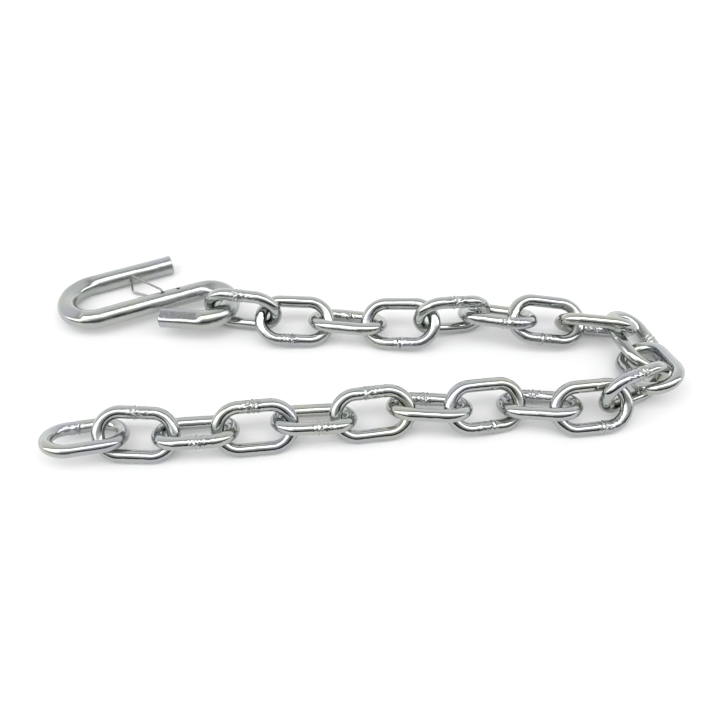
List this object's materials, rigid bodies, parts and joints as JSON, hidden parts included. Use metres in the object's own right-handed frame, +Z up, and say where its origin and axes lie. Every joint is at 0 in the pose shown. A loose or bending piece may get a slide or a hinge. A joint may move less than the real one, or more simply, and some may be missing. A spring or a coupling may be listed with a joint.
{
  "type": "trailer safety chain with latched s-hook",
  "caption": "Length of welded oval-link chain laid in a hairpin, with a heavy S-hook and its spring wire latch on one end.",
  "frame": {"origin": "on the floor under the middle of the whole object's box", "axes": "+X from the hook and the free end towards the bend of the hairpin, +Y from the free run to the run with the hook, +Z up"},
  "size_m": [0.343, 0.153, 0.0311],
  "materials": {
    "zinc_chain": "bright zinc plated",
    "zinc_hook": "bright zinc plated",
    "spring_steel": "drawn spring wire"
  },
  "bodies": {
    "chain": {"link_01": "zinc_chain", "link_02": "zinc_chain", "link_03": "zinc_chain", "link_04": "zinc_chain", "link_05": "zinc_chain", "link_06": "zinc_chain", "link_07": "zinc_chain", "link_08": "zinc_chain", "link_09": "zinc_chain", "link_10": "zinc_chain", "link_11": "zinc_chain", "link_12": "zinc_chain", "link_13": "zinc_chain", "link_14": "zinc_chain", "link_15": "zinc_chain", "link_16": "zinc_chain", "link_17": "zinc_chain", "link_18": "zinc_chain", "link_19": "zinc_chain", "link_20": "zinc_chain", "link_21": "zinc_chain", "s_hook": "zinc_hook"},
    "latch": {"latch_wire": "spring_steel"}
  },
  "joints": [
    {"name": "latch_swing", "type": "hinge", "parent": "chain", "child": "latch", "pos_m": [-0.11024, 0.03762, 0.0101], "axis": [-0.0554, 0.137, 0.989], "range_deg": [0, 45], "stiffness_Nm_per_rad": 0.02, "springref_deg": -34.38}
  ]
}
